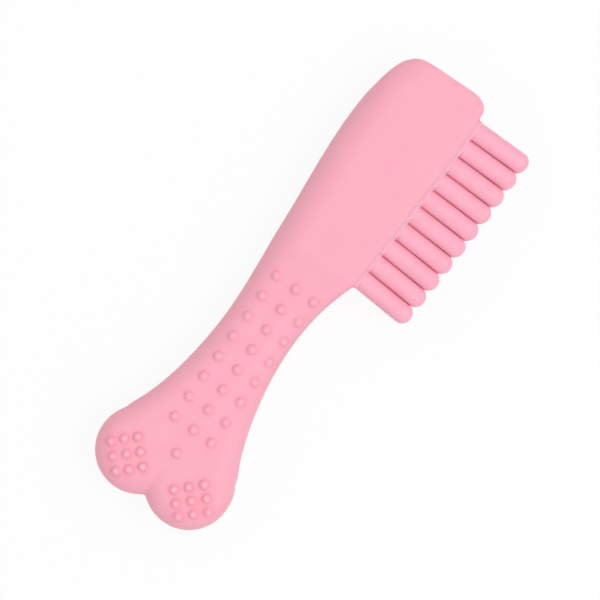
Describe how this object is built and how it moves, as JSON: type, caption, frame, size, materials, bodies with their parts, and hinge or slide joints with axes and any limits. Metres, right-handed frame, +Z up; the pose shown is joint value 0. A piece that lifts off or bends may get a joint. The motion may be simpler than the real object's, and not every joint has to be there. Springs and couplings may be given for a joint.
{
  "type": "pet toothbrush toy",
  "caption": "Soft rubber pet toothbrush with a comb-like field of thick round bristles, a nubbed waisted grip and a bone-shaped end.",
  "frame": {"origin": "middle of the toy's box, on the plane of its back face", "axes": "+X along the grip to the nose of the brush head, +Y to the smooth spine of the head (bristles point to -Y), +Z up through the thickness"},
  "size_m": [0.1448, 0.0525, 0.018],
  "materials": {
    "pink_rubber": "satin, moulded"
  },
  "bodies": {
    "moulded_body": {"brush_head": "pink_rubber", "grip_handle": "pink_rubber", "bone_lobe_left": "pink_rubber", "bone_lobe_right": "pink_rubber", "bristle_pad": "pink_rubber", "grip_nubs_front_left": "pink_rubber", "grip_nubs_back_left": "pink_rubber", "grip_nubs_front_centre": "pink_rubber", "grip_nubs_back_centre": "pink_rubber", "grip_nubs_front_right": "pink_rubber", "grip_nubs_back_right": "pink_rubber", "lobe_nubs_front_left": "pink_rubber", "lobe_nubs_back_left": "pink_rubber", "lobe_nubs_front_right": "pink_rubber", "lobe_nubs_back_right": "pink_rubber"},
    "bristle_front_01": {"bristle_front_01": "pink_rubber"},
    "bristle_front_02": {"bristle_front_02": "pink_rubber"},
    "bristle_front_03": {"bristle_front_03": "pink_rubber"},
    "bristle_front_04": {"bristle_front_04": "pink_rubber"},
    "bristle_front_05": {"bristle_front_05": "pink_rubber"},
    "bristle_front_06": {"bristle_front_06": "pink_rubber"},
    "bristle_front_07": {"bristle_front_07": "pink_rubber"},
    "bristle_front_08": {"bristle_front_08": "pink_rubber"},
    "bristle_front_09": {"bristle_front_09": "pink_rubber"},
    "bristle_front_10": {"bristle_front_10": "pink_rubber"},
    "bristle_middle_01": {"bristle_middle_01": "pink_rubber"},
    "bristle_middle_02": {"bristle_middle_02": "pink_rubber"},
    "bristle_middle_03": {"bristle_middle_03": "pink_rubber"},
    "bristle_middle_04": {"bristle_middle_04": "pink_rubber"},
    "bristle_middle_05": {"bristle_middle_05": "pink_rubber"},
    "bristle_middle_06": {"bristle_middle_06": "pink_rubber"},
    "bristle_middle_07": {"bristle_middle_07": "pink_rubber"},
    "bristle_middle_08": {"bristle_middle_08": "pink_rubber"},
    "bristle_middle_09": {"bristle_middle_09": "pink_rubber"},
    "bristle_middle_10": {"bristle_middle_10": "pink_rubber"},
    "bristle_back_01": {"bristle_back_01": "pink_rubber"},
    "bristle_back_02": {"bristle_back_02": "pink_rubber"},
    "bristle_back_03": {"bristle_back_03": "pink_rubber"},
    "bristle_back_04": {"bristle_back_04": "pink_rubber"},
    "bristle_back_05": {"bristle_back_05": "pink_rubber"},
    "bristle_back_06": {"bristle_back_06": "pink_rubber"},
    "bristle_back_07": {"bristle_back_07": "pink_rubber"},
    "bristle_back_08": {"bristle_back_08": "pink_rubber"},
    "bristle_back_09": {"bristle_back_09": "pink_rubber"},
    "bristle_back_10": {"bristle_back_10": "pink_rubber"}
  },
  "joints": [
    {"name": "bend_front_01", "type": "hinge", "parent": "moulded_body", "child": "bristle_front_01", "pos_m": [0.06416, -0.01244, 0.01467], "axis": [1, 0.0053, 0], "range_deg": [-20, 20], "stiffness_Nm_per_rad": 0.015},
    {"name": "bend_front_02", "type": "hinge", "parent": "moulded_body", "child": "bristle_front_02", "pos_m": [0.05846, -0.01245, 0.01467], "axis": [1, -0.002, 0], "range_deg": [-20, 20], "stiffness_Nm_per_rad": 0.015},
    {"name": "bend_front_03", "type": "hinge", "parent": "moulded_body", "child": "bristle_front_03", "pos_m": [0.05277, -0.01242, 0.01467], "axis": [1, -0.0092, 0], "range_deg": [-20, 20], "stiffness_Nm_per_rad": 0.015},
    {"name": "bend_front_04", "type": "hinge", "parent": "moulded_body", "child": "bristle_front_04", "pos_m": [0.04708, -0.01234, 0.01467], "axis": [0.9999, -0.0165, 0], "range_deg": [-20, 20], "stiffness_Nm_per_rad": 0.015},
    {"name": "bend_front_05", "type": "hinge", "parent": "moulded_body", "child": "bristle_front_05", "pos_m": [0.04139, -0.01223, 0.01467], "axis": [0.9997, -0.0238, 0], "range_deg": [-20, 20], "stiffness_Nm_per_rad": 0.015},
    {"name": "bend_front_06", "type": "hinge", "parent": "moulded_body", "child": "bristle_front_06", "pos_m": [0.0357, -0.01207, 0.01467], "axis": [0.9995, -0.031, 0], "range_deg": [-20, 20], "stiffness_Nm_per_rad": 0.015},
    {"name": "bend_front_07", "type": "hinge", "parent": "moulded_body", "child": "bristle_front_07", "pos_m": [0.03001, -0.01188, 0.01467], "axis": [0.9993, -0.0383, 0], "range_deg": [-20, 20], "stiffness_Nm_per_rad": 0.015},
    {"name": "bend_front_08", "type": "hinge", "parent": "moulded_body", "child": "bristle_front_08", "pos_m": [0.02433, -0.01164, 0.01467], "axis": [0.999, -0.0456, 0], "range_deg": [-20, 20], "stiffness_Nm_per_rad": 0.015},
    {"name": "bend_front_09", "type": "hinge", "parent": "moulded_body", "child": "bristle_front_09", "pos_m": [0.01864, -0.01136, 0.01467], "axis": [0.9986, -0.0528, 0], "range_deg": [-20, 20], "stiffness_Nm_per_rad": 0.015},
    {"name": "bend_front_10", "type": "hinge", "parent": "moulded_body", "child": "bristle_front_10", "pos_m": [0.01296, -0.01104, 0.01467], "axis": [0.9982, -0.0601, 0], "range_deg": [-20, 20], "stiffness_Nm_per_rad": 0.015},
    {"name": "bend_middle_01", "type": "hinge", "parent": "moulded_body", "child": "bristle_middle_01", "pos_m": [0.06416, -0.01244, 0.009], "axis": [1, 0.0053, 0], "range_deg": [-20, 20], "stiffness_Nm_per_rad": 0.015},
    {"name": "bend_middle_02", "type": "hinge", "parent": "moulded_body", "child": "bristle_middle_02", "pos_m": [0.05846, -0.01245, 0.009], "axis": [1, -0.002, 0], "range_deg": [-20, 20], "stiffness_Nm_per_rad": 0.015},
    {"name": "bend_middle_03", "type": "hinge", "parent": "moulded_body", "child": "bristle_middle_03", "pos_m": [0.05277, -0.01242, 0.009], "axis": [1, -0.0092, 0], "range_deg": [-20, 20], "stiffness_Nm_per_rad": 0.015},
    {"name": "bend_middle_04", "type": "hinge", "parent": "moulded_body", "child": "bristle_middle_04", "pos_m": [0.04708, -0.01234, 0.009], "axis": [0.9999, -0.0165, 0], "range_deg": [-20, 20], "stiffness_Nm_per_rad": 0.015},
    {"name": "bend_middle_05", "type": "hinge", "parent": "moulded_body", "child": "bristle_middle_05", "pos_m": [0.04139, -0.01223, 0.009], "axis": [0.9997, -0.0238, 0], "range_deg": [-20, 20], "stiffness_Nm_per_rad": 0.015},
    {"name": "bend_middle_06", "type": "hinge", "parent": "moulded_body", "child": "bristle_middle_06", "pos_m": [0.0357, -0.01207, 0.009], "axis": [0.9995, -0.031, 0], "range_deg": [-20, 20], "stiffness_Nm_per_rad": 0.015},
    {"name": "bend_middle_07", "type": "hinge", "parent": "moulded_body", "child": "bristle_middle_07", "pos_m": [0.03001, -0.01188, 0.009], "axis": [0.9993, -0.0383, 0], "range_deg": [-20, 20], "stiffness_Nm_per_rad": 0.015},
    {"name": "bend_middle_08", "type": "hinge", "parent": "moulded_body", "child": "bristle_middle_08", "pos_m": [0.02433, -0.01164, 0.009], "axis": [0.999, -0.0456, 0], "range_deg": [-20, 20], "stiffness_Nm_per_rad": 0.015},
    {"name": "bend_middle_09", "type": "hinge", "parent": "moulded_body", "child": "bristle_middle_09", "pos_m": [0.01864, -0.01136, 0.009], "axis": [0.9986, -0.0528, 0], "range_deg": [-20, 20], "stiffness_Nm_per_rad": 0.015},
    {"name": "bend_middle_10", "type": "hinge", "parent": "moulded_body", "child": "bristle_middle_10", "pos_m": [0.01296, -0.01104, 0.009], "axis": [0.9982, -0.0601, 0], "range_deg": [-20, 20], "stiffness_Nm_per_rad": 0.015},
    {"name": "bend_back_01", "type": "hinge", "parent": "moulded_body", "child": "bristle_back_01", "pos_m": [0.06416, -0.01244, 0.00333], "axis": [1, 0.0053, 0], "range_deg": [-20, 20], "stiffness_Nm_per_rad": 0.015},
    {"name": "bend_back_02", "type": "hinge", "parent": "moulded_body", "child": "bristle_back_02", "pos_m": [0.05846, -0.01245, 0.00333], "axis": [1, -0.002, 0], "range_deg": [-20, 20], "stiffness_Nm_per_rad": 0.015},
    {"name": "bend_back_03", "type": "hinge", "parent": "moulded_body", "child": "bristle_back_03", "pos_m": [0.05277, -0.01242, 0.00333], "axis": [1, -0.0092, 0], "range_deg": [-20, 20], "stiffness_Nm_per_rad": 0.015},
    {"name": "bend_back_04", "type": "hinge", "parent": "moulded_body", "child": "bristle_back_04", "pos_m": [0.04708, -0.01234, 0.00333], "axis": [0.9999, -0.0165, 0], "range_deg": [-20, 20], "stiffness_Nm_per_rad": 0.015},
    {"name": "bend_back_05", "type": "hinge", "parent": "moulded_body", "child": "bristle_back_05", "pos_m": [0.04139, -0.01223, 0.00333], "axis": [0.9997, -0.0238, 0], "range_deg": [-20, 20], "stiffness_Nm_per_rad": 0.015},
    {"name": "bend_back_06", "type": "hinge", "parent": "moulded_body", "child": "bristle_back_06", "pos_m": [0.0357, -0.01207, 0.00333], "axis": [0.9995, -0.031, 0], "range_deg": [-20, 20], "stiffness_Nm_per_rad": 0.015},
    {"name": "bend_back_07", "type": "hinge", "parent": "moulded_body", "child": "bristle_back_07", "pos_m": [0.03001, -0.01188, 0.00333], "axis": [0.9993, -0.0383, 0], "range_deg": [-20, 20], "stiffness_Nm_per_rad": 0.015},
    {"name": "bend_back_08", "type": "hinge", "parent": "moulded_body", "child": "bristle_back_08", "pos_m": [0.02433, -0.01164, 0.00333], "axis": [0.999, -0.0456, 0], "range_deg": [-20, 20], "stiffness_Nm_per_rad": 0.015},
    {"name": "bend_back_09", "type": "hinge", "parent": "moulded_body", "child": "bristle_back_09", "pos_m": [0.01864, -0.01136, 0.00333], "axis": [0.9986, -0.0528, 0], "range_deg": [-20, 20], "stiffness_Nm_per_rad": 0.015},
    {"name": "bend_back_10", "type": "hinge", "parent": "moulded_body", "child": "bristle_back_10", "pos_m": [0.01296, -0.01104, 0.00333], "axis": [0.9982, -0.0601, 0], "range_deg": [-20, 20], "stiffness_Nm_per_rad": 0.015}
  ],
  "couplings": [
    {"joint": "bend_middle_01", "follows": "bend_front_01", "ratio": 1},
    {"joint": "bend_middle_02", "follows": "bend_front_02", "ratio": 1},
    {"joint": "bend_middle_03", "follows": "bend_front_03", "ratio": 1},
    {"joint": "bend_middle_04", "follows": "bend_front_04", "ratio": 1},
    {"joint": "bend_middle_05", "follows": "bend_front_05", "ratio": 1},
    {"joint": "bend_middle_06", "follows": "bend_front_06", "ratio": 1},
    {"joint": "bend_middle_07", "follows": "bend_front_07", "ratio": 1},
    {"joint": "bend_middle_08", "follows": "bend_front_08", "ratio": 1},
    {"joint": "bend_middle_09", "follows": "bend_front_09", "ratio": 1},
    {"joint": "bend_middle_10", "follows": "bend_front_10", "ratio": 1},
    {"joint": "bend_back_01", "follows": "bend_front_01", "ratio": 1},
    {"joint": "bend_back_02", "follows": "bend_front_02", "ratio": 1},
    {"joint": "bend_back_03", "follows": "bend_front_03", "ratio": 1},
    {"joint": "bend_back_04", "follows": "bend_front_04", "ratio": 1},
    {"joint": "bend_back_05", "follows": "bend_front_05", "ratio": 1},
    {"joint": "bend_back_06", "follows": "bend_front_06", "ratio": 1},
    {"joint": "bend_back_07", "follows": "bend_front_07", "ratio": 1},
    {"joint": "bend_back_08", "follows": "bend_front_08", "ratio": 1},
    {"joint": "bend_back_09", "follows": "bend_front_09", "ratio": 1},
    {"joint": "bend_back_10", "follows": "bend_front_10", "ratio": 1}
  ]
}
